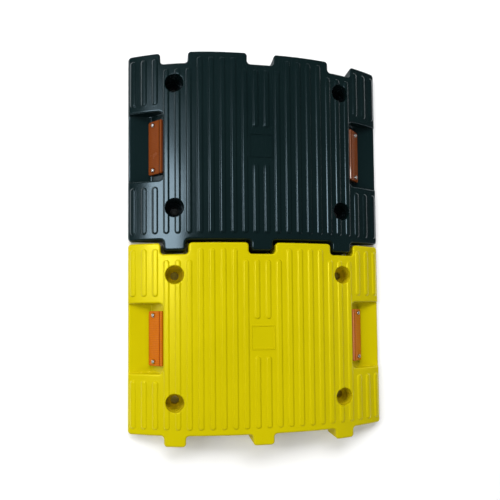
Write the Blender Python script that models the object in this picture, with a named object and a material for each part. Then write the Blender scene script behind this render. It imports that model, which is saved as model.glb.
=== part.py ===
"""Two interlocking road ramp modules with amber side reflectors.

Units are metres and +Z is up. Traffic crosses along X, over an arch that is lowest at
X = +-MODULE_WIDTH / 2, and the modules follow each other along Y. Each module is one hollow
moulding: its tongues (towards -Y) plug into the notches (towards +Y) of the next module. The
origin is on the ground, at the centre of the pair's overall box.
"""

from math import asin, atan2, cos, hypot, pi, sin

import bmesh
import bpy

# Arch and outline of one module
MODULE_WIDTH = 0.350
MODULE_LENGTH = 0.250
CREST_HEIGHT = 0.0485
EDGE_HEIGHT = 0.010
ARCH_POWER = 2.5
WALL = 0.005
CORNER_RADIUS = 0.0045

# Tongues, and the notches that they plug into
TONGUE_X = (-0.114, 0.0, 0.114)
TONGUE_WIDTH = 0.028
TONGUE_LENGTH = 0.014
TONGUE_SIDE_GAP = 0.004
TONGUE_END_GAP = 0.005
JOINT_GAP = 0.004

# Tread ribs
RIB_PITCH = 0.01465
RIB_WIDTH = 0.007
RIB_HEIGHT = 0.0015
RIB_ROOT = 0.000375
RIB_DRAFT = 0.0007
RIB_END_MARGIN = 0.008
RIB_NOTCH_MARGIN = 0.0015
RIB_EDGE_MARGIN = 0.002

# Plain square pad at the centre
PAD_SIZE = 0.032
PAD_FRAME = 0.0014
PAD_HEIGHT = 0.0007
PAD_SINK = 0.0003
PAD_MARGIN = 0.0085

# Bolt holes
HOLE_X = 0.114
HOLE_FROM_END = 0.042
COUNTERBORE_RADIUS = 0.012
BOLT_HOLE_RADIUS = 0.0055
BOLT_LEDGE_HEIGHT = 0.009

# Underside: webs and the two cable passages
WEB = 0.003
OUTER_WEB_X = 0.146
CROSS_BAYS = 4
PASSAGE_X = 0.057
PASSAGE_WIDTH = 0.038
PASSAGE_HEIGHT = 0.026

# Reflector pockets at the side edges
POCKET_END_GAP = 0.010
POCKET_EDGE_STEP = 0.002
POCKET_CORNER = 0.007
POCKET_MARGIN = 0.009

# Reflectors: a lens on a back plate, held by two screws
LENS_LENGTH = 0.072
LENS_WIDTH = 0.026
LENS_THICKNESS = 0.0030
LENS_BEVEL = 0.0008
LENS_CORNER = 0.002
LENS_FROM_EDGE = 0.0445
LENS_END_GAP = 0.0008
REFLECTOR_ABOVE_FLOOR = 0.00015
PLATE_THICKNESS = 0.0015
PLATE_INSET = 0.0006
SCREW_FROM_END = 0.0055
SCREW_UP_SLOPE = -0.0034
SCREW_HEAD_RADIUS = 0.0028
SCREW_HEAD_HEIGHT = 0.0018
SCREW_CROWN_RADIUS = 0.00154
SCREW_SHANK_RADIUS = 0.0014
SCREW_LENGTH = 0.0100
PILOT_DEPTH = 0.0070
SCREW_BOSS_RADIUS = 0.0045
FIT_GAP = 0.0003

# Sizes that follow from the ones above
NOTCH_WIDTH = TONGUE_WIDTH + 2 * TONGUE_SIDE_GAP
NOTCH_DEPTH = TONGUE_LENGTH - JOINT_GAP + TONGUE_END_GAP
HALF_WIDTH = MODULE_WIDTH / 2
BLACK_START = (TONGUE_LENGTH + JOINT_GAP) / 2
YELLOW_START = BLACK_START - JOINT_GAP - MODULE_LENGTH
RIBS_PER_SIDE = int((HALF_WIDTH - RIB_EDGE_MARGIN - RIB_WIDTH / 2) / RIB_PITCH + 0.5)
REFLECTOR_DEPTH = FIT_GAP + PLATE_THICKNESS + FIT_GAP + LENS_THICKNESS
SCREW_HOLE_RADIUS = SCREW_SHANK_RADIUS + FIT_GAP
POCKET_LENGTH = LENS_LENGTH + 2 * POCKET_END_GAP
POCKET_FLOOR = EDGE_HEIGHT - POCKET_EDGE_STEP

# How far cutters run past what they cut
BEYOND = 0.020

# Fineness of round stretches
ARC_STEPS = 2
RIB_END_STEPS = 3
POCKET_ARC_STEPS = 4
ROUND_STEPS = 20
SCREW_STEPS = 12
PASSAGE_STEPS = 8


# ---------------------------------------------------------------- arch

def arch_height(x):
    """Height of the smooth arch over the point x."""
    return EDGE_HEIGHT + (CREST_HEIGHT - EDGE_HEIGHT) * (1 - abs(x / HALF_WIDTH) ** ARCH_POWER)


def arch_breaks():
    """Places across the arch where one flat meets the next, midway between two ribs."""
    inner = [k * RIB_PITCH for k in range(1 - RIBS_PER_SIDE, RIBS_PER_SIDE)]
    return [-HALF_WIDTH] + inner + [HALF_WIDTH]


def flat_height(x):
    """Height of the faceted arch over the point x."""
    breaks = arch_breaks()
    for left, right in zip(breaks, breaks[1:]):
        if left <= x <= right:
            share = (x - left) / (right - left)
            return arch_height(left) * (1 - share) + arch_height(right) * share
    return EDGE_HEIGHT


def arch_profile(reach, drop):
    """Section of the arch out to +-reach, lowered by drop and open downwards past the ground."""
    breaks = [x for x in arch_breaks() if abs(x) < reach]
    top = [(x, flat_height(x) - drop) for x in [-reach] + breaks + [reach]]
    return [(reach, -BEYOND), (-reach, -BEYOND)] + top


# ---------------------------------------------------------------- outlines

def rounded(corners, radius, steps=ARC_STEPS):
    """Outline through the corners, each rounded by an arc of radius(turns_left)."""
    points = []
    for before, corner, after in zip(corners[-1:] + corners, corners, corners[1:] + corners[:1]):
        into = (corner[0] - before[0], corner[1] - before[1])
        out = (after[0] - corner[0], after[1] - corner[1])
        turn = into[0] * out[1] - into[1] * out[0]
        size = radius(turn > 0)
        if size <= 0:
            points.append(corner)
            continue
        into = (into[0] / hypot(*into), into[1] / hypot(*into))
        out = (out[0] / hypot(*out), out[1] / hypot(*out))
        centre = (corner[0] + (out[0] - into[0]) * size, corner[1] + (out[1] - into[1]) * size)
        start = atan2(-out[1], -out[0])
        sweep = pi / 2 if turn > 0 else -pi / 2
        for step in range(steps + 1):
            angle = start + sweep * step / steps
            points.append((centre[0] + size * cos(angle), centre[1] + size * sin(angle)))
    return points


def module_outline(inset):
    """Plan of a module with its tongues and notches, moved inwards by inset."""
    tongue = TONGUE_WIDTH / 2 - inset
    notch = NOTCH_WIDTH / 2 + inset
    side = HALF_WIDTH - inset
    start, end = inset, MODULE_LENGTH - inset
    corners = [(-side, start)]
    for x in TONGUE_X:
        tip = inset - TONGUE_LENGTH
        corners += [(x - tongue, start), (x - tongue, tip), (x + tongue, tip), (x + tongue, start)]
    corners += [(side, start), (side, end)]
    for x in reversed(TONGUE_X):
        floor = end - NOTCH_DEPTH
        corners += [(x + notch, end), (x + notch, floor), (x - notch, floor), (x - notch, end)]
    corners += [(-side, end)]
    return rounded(corners, lambda outer: CORNER_RADIUS - inset if outer else CORNER_RADIUS + inset)


def rectangle(x0, y0, x1, y1):
    """Corners of a rectangle, anticlockwise."""
    return [(x0, y0), (x1, y0), (x1, y1), (x0, y1)]


def stadium(x, start, end, radius, steps=RIB_END_STEPS):
    """Plan of a rib from start to end with half-round ends."""
    points = []
    for centre, first in ((start + radius, pi), (end - radius, 0.0)):
        for step in range(steps + 1):
            angle = first + pi * step / steps
            points.append((x + radius * cos(angle), centre + radius * sin(angle)))
    return points


def circle(x, y, radius, steps=ROUND_STEPS):
    """Plan of a round, anticlockwise."""
    turns = [2 * pi * step / steps for step in range(steps)]
    return [(x + radius * cos(turn), y + radius * sin(turn)) for turn in turns]


# ---------------------------------------------------------------- solids

def upright(outline, low, high):
    """Rings of a solid that stands on its plan."""
    return [[(x, y, low) for x, y in outline], [(x, y, high) for x, y in outline]]


def lengthwise(profile, start, end):
    """Rings of a solid whose section in X and Z runs along Y."""
    return [[(x, start, z) for x, z in profile], [(x, end, z) for x, z in profile]]


def turned(x, y, steps, profile):
    """Rings of a solid turned about an upright axis, from its (radius, height) profile."""
    return [[(px, py, z) for px, py in circle(x, y, radius, steps)] for radius, z in profile]


def build_mesh(name, solids):
    """Mesh of closed solids, each given as the rings that it runs through."""
    bm = bmesh.new()
    for rings in solids:
        rows = [[bm.verts.new(point) for point in ring] for ring in rings]
        bm.faces.new(rows[0][::-1])
        bm.faces.new(rows[-1])
        for low, high in zip(rows, rows[1:]):
            for side in zip(low, low[1:] + low[:1], high[1:] + high[:1], high):
                bm.faces.new(side)
    bmesh.ops.recalc_face_normals(bm, faces=bm.faces[:])
    mesh = bpy.data.meshes.new(name)
    bm.to_mesh(mesh)
    bm.free()
    return mesh


# ---------------------------------------------------------------- Blender objects

def add_empty(name, parent=None, location=(0, 0, 0), rotation=(0, 0, 0)):
    """Empty that places what is parented to it."""
    empty = bpy.data.objects.new(name, None)
    bpy.context.collection.objects.link(empty)
    empty.parent = parent
    empty.location = location
    empty.rotation_euler = rotation
    return empty


def add_object(name, solids, parent, material=None, location=(0, 0, 0)):
    """Object made of closed solids, parented to an empty."""
    mesh = build_mesh(name, solids)
    piece = bpy.data.objects.new(name, mesh)
    bpy.context.collection.objects.link(piece)
    piece.parent = parent
    piece.location = location
    if material:
        mesh.materials.append(material)
    return piece


def add_cutter(name, solids, parent, location=(0, 0, 0)):
    """Object that only shapes others."""
    cutter = add_object(name, solids, parent, location=location)
    cutter.hide_render = True
    cutter.display_type = "WIRE"
    return cutter


def combine(piece, operation, other):
    """Boolean of a piece with another object."""
    step = piece.modifiers.new(other.name, "BOOLEAN")
    step.operation = operation
    step.solver = "EXACT"
    step.object = other


def make_material(name, colour, roughness, metallic=0.0):
    """Plain Principled finish."""
    material = bpy.data.materials.new(name)
    material.use_nodes = True
    material.diffuse_color = (*colour, 1.0)
    shader = material.node_tree.nodes["Principled BSDF"]
    shader.inputs["Base Color"].default_value = (*colour, 1.0)
    shader.inputs["Roughness"].default_value = roughness
    shader.inputs["Metallic"].default_value = metallic
    return material


# ---------------------------------------------------------------- reflector seat

class Seat:
    """The inclined plane that a reflector lies on, in the section of the right-hand pocket.

    The lens's upper edge is level with the arch and the back plate's lower corner is just above
    the pocket's floor. Between those two corners the reflector measures along up the slope and
    deep square to it, so along * sin(tilt) + deep * cos(tilt) = drop, which sets the tilt.
    """

    along = LENS_WIDTH - PLATE_INSET
    deep = REFLECTOR_DEPTH - FIT_GAP
    top_x = HALF_WIDTH - LENS_FROM_EDGE
    top_z = arch_height(top_x)
    drop = top_z - POCKET_FLOOR - REFLECTOR_ABOVE_FLOOR
    tilt = asin(drop / hypot(along, deep)) - atan2(deep, along)
    centre_x = top_x + cos(tilt) * LENS_WIDTH / 2 - sin(tilt) * REFLECTOR_DEPTH
    centre_z = top_z - sin(tilt) * LENS_WIDTH / 2 - cos(tilt) * REFLECTOR_DEPTH

    @classmethod
    def point(cls, up_slope, outward=0.0):
        """Point (x, z) that far up the slope from the seat's centre and that far off it."""
        x = cls.centre_x - cos(cls.tilt) * up_slope + sin(cls.tilt) * outward
        z = cls.centre_z + sin(cls.tilt) * up_slope + cos(cls.tilt) * outward
        return x, z


def pocket_section(grow):
    """Section of the right-hand pocket, or of its lining where grow is the wall."""
    top = LENS_WIDTH / 2 + LENS_END_GAP + grow
    floor = POCKET_FLOOR - grow
    down_slope = (Seat.point(0, -grow)[1] - floor) / sin(Seat.tilt)
    foot = Seat.point(-down_slope, -grow)
    wall_foot = Seat.point(top, -grow)
    wall_head = Seat.point(top, BEYOND + REFLECTOR_DEPTH)
    outside = HALF_WIDTH + BEYOND
    return [(outside, floor), (outside, CREST_HEIGHT + BEYOND), wall_head, wall_foot, foot]


def pocket_plan(grow):
    """Plan of the right-hand pocket with its two inner corners rounded."""
    inner = Seat.point(LENS_WIDTH / 2 + LENS_END_GAP + grow, -grow)[0]
    start = (MODULE_LENGTH - POCKET_LENGTH) / 2 - grow
    corners = rectangle(inner, start, HALF_WIDTH + BEYOND, MODULE_LENGTH - start)
    return rounded(corners, lambda outer: POCKET_CORNER + grow, POCKET_ARC_STEPS)


def mirrored(outline):
    """The same outline on the other side of X = 0."""
    return [(-x, other) for x, other in outline]


def add_pockets(name, grow, parent):
    """Both pockets as cutters, or their linings where grow is the wall."""
    section = pocket_section(grow)
    start = (MODULE_LENGTH - POCKET_LENGTH) / 2 - grow - BEYOND
    sections = [lengthwise(side, start, MODULE_LENGTH - start)
                for side in (section, mirrored(section))]
    plan = pocket_plan(grow)
    plans = [upright(side, -BEYOND, CREST_HEIGHT + 2 * BEYOND) for side in (plan, mirrored(plan))]
    pockets = add_cutter(name, plans, parent)
    combine(pockets, "INTERSECT", add_cutter(name + "_section", sections, parent))
    return pockets


# ---------------------------------------------------------------- module features

def notch_over(x, reach):
    """Whether a notch lies over x, or within reach of it."""
    return any(abs(x - centre) < NOTCH_WIDTH / 2 + reach for centre in TONGUE_X)


def rib_spans(x):
    """Stretches along Y of the rib at x, broken by the pockets, the pad and the notches."""
    end = MODULE_LENGTH - RIB_END_MARGIN
    if notch_over(x, RIB_WIDTH / 2 + RIB_NOTCH_MARGIN):
        end -= NOTCH_DEPTH
    middle = MODULE_LENGTH / 2
    if abs(x) + RIB_WIDTH / 2 > Seat.top_x:
        clear = POCKET_LENGTH / 2 + POCKET_MARGIN
    elif abs(x) - RIB_WIDTH / 2 < PAD_SIZE / 2 and abs(x) < RIB_PITCH:
        clear = PAD_SIZE / 2 + PAD_MARGIN
    else:
        return [(RIB_END_MARGIN, end)]
    return [(RIB_END_MARGIN, middle - clear), (middle + clear, end)]


def rib_solids():
    """Tread ribs, each standing on one flat of the arch, with sloping flanks."""
    solids = []
    for place in range(-RIBS_PER_SIDE, RIBS_PER_SIDE):
        x = (place + 0.5) * RIB_PITCH
        for start, end in rib_spans(x):
            foot = stadium(x, start, end, RIB_WIDTH / 2)
            head = stadium(x, start + RIB_DRAFT, end - RIB_DRAFT, RIB_WIDTH / 2 - RIB_DRAFT)
            solids.append([
                [(px, py, flat_height(px) - WALL / 2) for px, py in foot],
                [(px, py, flat_height(px) - RIB_ROOT) for px, py in foot],
                [(px, py, flat_height(px) + RIB_HEIGHT) for px, py in head],
            ])
    return solids


def pad_block(size, low, high):
    """Square block over the centre of the module."""
    half = size / 2
    middle = MODULE_LENGTH / 2
    return [upright(rectangle(-half, middle - half, half, middle + half), low, high)]


def hole_places():
    """Centres of a module's four bolt holes."""
    ends = (HOLE_FROM_END, MODULE_LENGTH - HOLE_FROM_END)
    return [(x, y) for x in (-HOLE_X, HOLE_X) for y in ends]


def bore_solids():
    """Counterbore and bolt hole in one, at each place."""
    profile = [
        (BOLT_HOLE_RADIUS, -BEYOND),
        (BOLT_HOLE_RADIUS, BOLT_LEDGE_HEIGHT),
        (COUNTERBORE_RADIUS, BOLT_LEDGE_HEIGHT),
        (COUNTERBORE_RADIUS, CREST_HEIGHT + BEYOND),
    ]
    return [turned(x, y, ROUND_STEPS, profile) for x, y in hole_places()]


def boss_solids():
    """Round bosses that carry the bolt holes down to the ground."""
    radius = COUNTERBORE_RADIUS + WALL
    return [upright(circle(x, y, radius), -2 * BEYOND, CREST_HEIGHT + BEYOND)
            for x, y in hole_places()]


def long_web_solids():
    """Webs along Y: at the crest, beside the cable passages, through the bosses and outside."""
    beside = PASSAGE_WIDTH / 2 + WEB
    places = [PASSAGE_X - beside, PASSAGE_X + beside, HOLE_X, OUTER_WEB_X]
    places = [-x for x in places] + [0.0] + places
    start, end = -TONGUE_LENGTH - BEYOND, MODULE_LENGTH + BEYOND
    return [upright(rectangle(x - WEB / 2, start, x + WEB / 2, end), -2 * BEYOND,
                    CREST_HEIGHT + BEYOND) for x in places]


def cross_web_solids():
    """Webs along X: through the bosses, with even bays between them."""
    reach = HALF_WIDTH + BEYOND
    bay = (MODULE_LENGTH - 2 * HOLE_FROM_END) / CROSS_BAYS
    places = [HOLE_FROM_END + bay * number for number in range(CROSS_BAYS + 1)]
    return [upright(rectangle(-reach, y - WEB / 2, reach, y + WEB / 2), -2 * BEYOND,
                    CREST_HEIGHT + BEYOND) for y in places]


def passage_solids():
    """Round-topped cable passages, through both ends and every cross web."""
    radius = PASSAGE_WIDTH / 2
    spring = PASSAGE_HEIGHT - radius
    solids = []
    for x in (-PASSAGE_X, PASSAGE_X):
        turns = [pi * step / PASSAGE_STEPS for step in range(PASSAGE_STEPS + 1)]
        crown = [(x + radius * cos(turn), spring + radius * sin(turn)) for turn in turns]
        section = [(x + radius, -BEYOND)] + crown + [(x - radius, -BEYOND)]
        solids.append(lengthwise(section, -TONGUE_LENGTH - BEYOND, MODULE_LENGTH + BEYOND))
    return solids


def screw_places():
    """Places of a reflector's screws, up the slope and along Y from the seat's centre."""
    along = LENS_LENGTH / 2 - SCREW_FROM_END
    return [(SCREW_UP_SLOPE, -along), (SCREW_UP_SLOPE, along)]


def add_screw_cutters(name, radius, low, high, parent):
    """Rounds on the screws' axes in both pockets, from low to high off the seat."""
    profile = [(radius, low), (radius, high)]
    solids = [turned(u, v, SCREW_STEPS, profile) for u, v in screw_places()]
    return [add_cutter(f"{name}_{side}", solids, add_seat(f"{name}_{side}_seat", side, parent))
            for side in ("left", "right")]


def add_seat(name, side, parent):
    """Empty on a seat's centre: its X runs up the slope, its Z points out of the seat."""
    mirror = -1 if side == "left" else 1
    turn = 0.0 if side == "left" else pi
    place = (mirror * Seat.centre_x, MODULE_LENGTH / 2, Seat.centre_z)
    return add_empty(name, parent, place, (0.0, -Seat.tilt, turn))


# ---------------------------------------------------------------- module and reflectors

def add_hollow(name, parent):
    """What is taken out from below: the inside of the walls, less webs, bosses and linings."""
    plan = upright(module_outline(WALL), -BEYOND, CREST_HEIGHT + 2 * BEYOND)
    hollow = add_cutter(name, [plan], parent)
    reach = HALF_WIDTH - WALL / 2
    section = lengthwise(arch_profile(reach, WALL), -TONGUE_LENGTH - BEYOND,
                         MODULE_LENGTH + BEYOND)
    section = [[(x, y, z if z > 0 else -2 * BEYOND) for x, y, z in ring] for ring in section]
    combine(hollow, "INTERSECT", add_cutter(name + "_section", [section], parent))
    kept = [
        add_cutter(name + "_long_webs", long_web_solids(), parent),
        add_cutter(name + "_cross_webs", cross_web_solids(), parent),
        add_cutter(name + "_bosses", boss_solids(), parent),
        add_pockets(name + "_linings", WALL, parent),
    ]
    kept += add_screw_cutters(name + "_screw_bosses", SCREW_BOSS_RADIUS,
                              -PILOT_DEPTH - WALL / 2, 0.0, parent)
    for cutter in kept:
        combine(hollow, "DIFFERENCE", cutter)
    return hollow


def add_module(name, material, parent):
    """One hollow moulding with its ribs, bolt holes, pockets and cable passages."""
    plan = upright(module_outline(0.0), 0.0, CREST_HEIGHT + BEYOND)
    module = add_object(name, [plan], parent, material)
    arch = lengthwise(arch_profile(HALF_WIDTH + BEYOND / 2, 0.0), -TONGUE_LENGTH - BEYOND,
                      MODULE_LENGTH + BEYOND)
    pad = pad_block(PAD_SIZE, CREST_HEIGHT - WALL / 2, CREST_HEIGHT + PAD_HEIGHT)
    recess = pad_block(PAD_SIZE - 2 * PAD_FRAME, CREST_HEIGHT - PAD_SINK, CREST_HEIGHT + BEYOND)
    combine(module, "INTERSECT", add_cutter(name + "_arch", [arch], parent))
    combine(module, "UNION", add_cutter(name + "_ribs", rib_solids(), parent))
    combine(module, "UNION", add_cutter(name + "_pad", pad, parent))
    combine(module, "DIFFERENCE", add_cutter(name + "_pad_recess", recess, parent))
    combine(module, "DIFFERENCE", add_hollow(name + "_hollow", parent))
    combine(module, "DIFFERENCE", add_cutter(name + "_bores", bore_solids(), parent))
    combine(module, "DIFFERENCE", add_pockets(name + "_pockets", 0.0, parent))
    combine(module, "DIFFERENCE", add_cutter(name + "_passages", passage_solids(), parent))
    for pilots in add_screw_cutters(name + "_pilots", SCREW_HOLE_RADIUS, -PILOT_DEPTH, WALL,
                                    parent):
        combine(module, "DIFFERENCE", pilots)
    return module


def add_plate(name, inset, corner, rings, material, seat, height):
    """Flat reflector part with two screw holes: rings give (inset, height) from below."""
    half_width, half_length = LENS_WIDTH / 2 - inset, LENS_LENGTH / 2 - inset
    solid = []
    for extra, z in rings:
        box = rectangle(extra - half_width, extra - half_length,
                        half_width - extra, half_length - extra)
        outline = rounded(box, lambda outer: corner)
        solid.append([(x, y, z) for x, y in outline])
    plate = add_object(name, [solid], seat, material, (0, 0, height))
    holes = [turned(u, v, SCREW_STEPS, [(SCREW_HOLE_RADIUS, -WALL), (SCREW_HOLE_RADIUS, WALL)])
             for u, v in screw_places()]
    combine(plate, "DIFFERENCE", add_cutter(name + "_holes", holes, seat, (0, 0, height)))
    return plate


def add_screw(name, material, seat, place):
    """Pan-head screw, upright in the seat's frame, its head just clear of the lens."""
    under_head = REFLECTOR_DEPTH + FIT_GAP
    head, shank = SCREW_HEAD_RADIUS, SCREW_SHANK_RADIUS
    profile = [
        (shank / 2, -SCREW_LENGTH),
        (shank, -SCREW_LENGTH + shank),
        (shank, 0.0),
        (head, 0.0),
        (head, SCREW_HEAD_HEIGHT / 2),
        (SCREW_CROWN_RADIUS, SCREW_HEAD_HEIGHT),
    ]
    screw = add_object(name, [turned(0.0, 0.0, SCREW_STEPS, profile)], seat, material,
                       (*place, under_head))
    screw.data.shade_smooth()
    screw.data.set_sharp_from_angle(angle=pi / 6)
    return screw


def add_reflector(name, side, finishes, parent):
    """Back plate, lens and two screws on the seat of one pocket."""
    seat = add_seat(name + "_seat", side, parent)
    plate_rings = [(0.0, 0.0), (0.0, PLATE_THICKNESS)]
    add_plate(name + "_back_plate", PLATE_INSET, LENS_CORNER, plate_rings, finishes["plate"],
              seat, FIT_GAP)
    lens_rings = [(0.0, 0.0), (0.0, LENS_THICKNESS - LENS_BEVEL), (LENS_BEVEL, LENS_THICKNESS)]
    add_plate(name + "_lens", 0.0, LENS_CORNER, lens_rings, finishes["lens"],
              seat, FIT_GAP + PLATE_THICKNESS + FIT_GAP)
    for number, place in enumerate(screw_places(), start=1):
        add_screw(f"{name}_screw_{number}", finishes["screw"], seat, place)


def main():
    """Clear the scene and build both modules with their reflectors."""
    for old in list(bpy.data.objects):
        bpy.data.objects.remove(old, do_unlink=True)
    finishes = {
        "plate": make_material("reflector_back_plate", (0.10, 0.05, 0.02), 0.5),
        "lens": make_material("amber_lens", (0.72, 0.22, 0.02), 0.15),
        "screw": make_material("screw_steel", (0.70, 0.70, 0.72), 0.25, 1.0),
    }
    modules = (
        ("black", (0.012, 0.018, 0.020), BLACK_START),
        ("yellow", (0.70, 0.58, 0.005), YELLOW_START),
    )
    for colour_name, colour, start in modules:
        place = add_empty(colour_name + "_place", location=(0.0, start, 0.0))
        add_module(colour_name + "_module", make_material(colour_name + "_plastic", colour, 0.3),
                   place)
        for side in ("left", "right"):
            add_reflector(f"{colour_name}_{side}", side, finishes, place)


main()
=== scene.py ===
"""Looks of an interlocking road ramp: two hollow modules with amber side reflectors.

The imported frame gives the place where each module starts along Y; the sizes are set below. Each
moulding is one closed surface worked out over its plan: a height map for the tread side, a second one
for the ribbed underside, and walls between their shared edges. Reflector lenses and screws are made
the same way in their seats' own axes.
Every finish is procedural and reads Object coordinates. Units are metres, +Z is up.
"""

import logging
import math
from dataclasses import dataclass, field
from enum import Enum
from itertools import chain
from typing import Any, Callable

import bpy
import numpy as np
from mathutils import Matrix, Vector
from mathutils.geometry import delaunay_2d_cdt


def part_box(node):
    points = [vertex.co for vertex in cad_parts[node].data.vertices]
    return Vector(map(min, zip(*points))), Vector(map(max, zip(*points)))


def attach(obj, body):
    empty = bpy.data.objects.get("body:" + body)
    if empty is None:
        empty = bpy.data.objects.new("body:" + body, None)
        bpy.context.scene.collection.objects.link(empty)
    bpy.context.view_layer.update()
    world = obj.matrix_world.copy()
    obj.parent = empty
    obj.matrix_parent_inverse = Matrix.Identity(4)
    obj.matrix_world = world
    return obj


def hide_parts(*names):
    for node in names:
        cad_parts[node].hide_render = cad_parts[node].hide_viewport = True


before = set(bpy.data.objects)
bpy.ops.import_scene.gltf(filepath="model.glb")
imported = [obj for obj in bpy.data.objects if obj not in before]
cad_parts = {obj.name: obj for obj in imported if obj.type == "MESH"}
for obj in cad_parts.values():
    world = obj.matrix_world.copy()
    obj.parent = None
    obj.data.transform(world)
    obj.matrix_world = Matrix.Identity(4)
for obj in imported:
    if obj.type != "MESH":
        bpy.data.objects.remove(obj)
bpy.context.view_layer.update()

Array = np.ndarray
LOG = logging.getLogger("ramp")
MM = 0.001
LINE_SPACING = 7 * MM
UNDERSIDE_SPACING = 9 * MM
WEB_SPACING = 4 * MM
CLEAR_OF_HOLE = 0.3 * MM
CLEAR_OF_LINE = 0.7 * MM
SHORT_OF_EDGE = 0.06 * MM


# ------------------------------------------------------------------ curves and distances

def ease(t: Array) -> Array:
    """Smooth step: 3t^2 - 2t^3, held at 0 below t = 0 and at 1 above t = 1."""
    t = np.clip(t, 0.0, 1.0)
    return t * t * (3.0 - 2.0 * t)


def ramp(t: Array) -> Array:
    """Straight step: t, held at 0 below t = 0 and at 1 above t = 1."""
    return np.clip(t, 0.0, 1.0)


def flank(t: Array, foot: float = 0.15, head: float = 0.65) -> Array:
    """Step from 0 to 1 with a straight middle and bends at its foot and head.

    The slope rises evenly over the foot's share of t, holds at 1 / (1 - foot/2 - head/2), and
    falls evenly over the head's share.
    """
    t = np.clip(t, 0.0, 1.0)
    slope = 1 / (1 - foot / 2 - head / 2)
    rising = slope * t * t / (2 * foot)
    falling = 1 - slope * (1 - t) ** 2 / (2 * head)
    return np.where(t < foot, rising, np.where(t > 1 - head, falling, slope * (t - foot / 2)))


def quarter(distance: Array, radius: Array | float) -> Array:
    """Height lost by a rounded edge at a distance in from it.

    The edge is a quarter circle, so the loss is r - sqrt(r^2 - (r - d)^2) while d < r.

    Args:
        distance: How far in from the edge, negative past it.
        radius: Radius of the rounding.

    Returns:
        The loss, from the radius at the edge down to 0.
    """
    left = np.clip(radius - distance, 0.0, radius)
    return radius - np.sqrt(np.maximum(radius * radius - left * left, 0.0))


def softer_max(a: Array, b: Array, blend: float) -> Array:
    """Larger of two heights, with a rounded inner corner: max + (k - |a - b|)^2 / 4k."""
    near = np.clip(blend - np.abs(a - b), 0.0, None)
    return np.maximum(a, b) + near * near / (4.0 * blend)


def quarter_places(radius: float, steps: int = 4) -> Array:
    """Distances in from an edge at which a quarter circle is cut: r (1 - cos a)."""
    return radius * (1.0 - np.cos(np.linspace(0.0, math.pi / 2, steps + 1)))


def rounded(corners: Array, outer: float, inner: float, steps: int = 6) -> Array:
    """Anticlockwise outline whose corners are circular arcs.

    With unit directions i into a corner and o out of it, the arc's centre is c + r (o - i), and its
    points are centre + r (i sin a - o cos a) for a from 0 to 90 degrees.

    Args:
        corners: Corners, one row each.
        outer: Radius where the outline turns left.
        inner: Radius where it turns right.
        steps: Straight pieces in each arc.

    Returns:
        Points of the outline, one row each.
    """
    into = corners - np.roll(corners, 1, axis=0)
    into = into / np.linalg.norm(into, axis=1)[:, None]
    out = np.roll(into, -1, axis=0)
    left = into[:, 0] * out[:, 1] - into[:, 1] * out[:, 0] > 0
    radius = np.where(left, outer, inner)[:, None, None]
    turn = np.linspace(0.0, math.pi / 2, steps + 1)[None, :, None]
    centre = corners[:, None] + radius * (out - into)[:, None]
    arc = into[:, None] * np.sin(turn) - out[:, None] * np.cos(turn)
    return (centre + radius * arc).reshape(-1, 2)


def circle(x: float, y: float, radius: float, steps: int = 56) -> Array:
    """Anticlockwise ring of points about (x, y)."""
    turn = np.linspace(0.0, 2 * math.pi, steps, endpoint=False)
    return np.stack([x + radius * np.cos(turn), y + radius * np.sin(turn)], axis=1)


def stadium(x: float, start: float, end: float, radius: float, steps: int = 12) -> Array:
    """Outline round the straight line from (x, start) to (x, end) at a radius from it."""
    turn = np.linspace(0.0, math.pi, steps + 1)
    low = np.stack([x - radius * np.cos(turn), start - radius * np.sin(turn)], axis=1)
    high = np.stack([x + radius * np.cos(turn), end + radius * np.sin(turn)], axis=1)
    return np.concatenate([low, high])


def divided(line: Array, spacing: float, closed: bool = True) -> Array:
    """Line with points added so that none are further apart than the spacing."""
    ahead = np.roll(line, -1, axis=0)
    if not closed:
        ahead[-1] = line[-1]
    lengths = np.linalg.norm(ahead - line, axis=1)
    counts = np.maximum(1, np.ceil(lengths / spacing - 1e-6)).astype(int)
    first = np.repeat(np.cumsum(counts) - counts, counts)
    share = (np.arange(counts.sum()) - first) / np.repeat(counts, counts)
    return np.repeat(line, counts, axis=0) + np.repeat(ahead - line, counts, axis=0) * share[:, None]


def in_blocks(work: Callable[[Array], Array], points: Array, block: int = 6000) -> Array:
    """Result of work on the points, done a block at a time to spare memory."""
    count = max(1, math.ceil(len(points) / block))
    return np.concatenate([work(part) for part in np.array_split(points, count)])


def edge_distance(points: Array, outline: Array) -> Array:
    """Shortest distance from each point to a closed outline.

    For each stretch from a along s, the nearest share is t = clip((p - a).s / s.s, 0, 1), and the
    distance is |p - a - t s|.
    """
    span = np.roll(outline, -1, axis=0) - outline
    square = (span * span).sum(axis=1)

    def nearest(part: Array) -> Array:
        """Distance of one block of points."""
        away = part[:, None] - outline
        share = np.clip((away * span).sum(axis=2) / square, 0.0, 1.0)
        return np.linalg.norm(away - share[..., None] * span, axis=2).min(axis=1)

    return in_blocks(nearest, points)


def inside(points: Array, outline: Array) -> Array:
    """Whether a ray along +X from each point crosses the outline an odd number of times."""
    ax, ay = outline.T
    bx, by = np.roll(outline, -1, axis=0).T
    rise = np.where(by == ay, 1.0, by - ay)

    def odd(part: Array) -> Array:
        """Test of one block of points."""
        px, py = part[:, :1], part[:, 1:]
        crosses = ((ay > py) != (by > py)) & (px < ax + (py - ay) * (bx - ax) / rise)
        return crosses.sum(axis=1) % 2 == 1

    return in_blocks(odd, points)


# ------------------------------------------------------------------ surfaces over a plan

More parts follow.
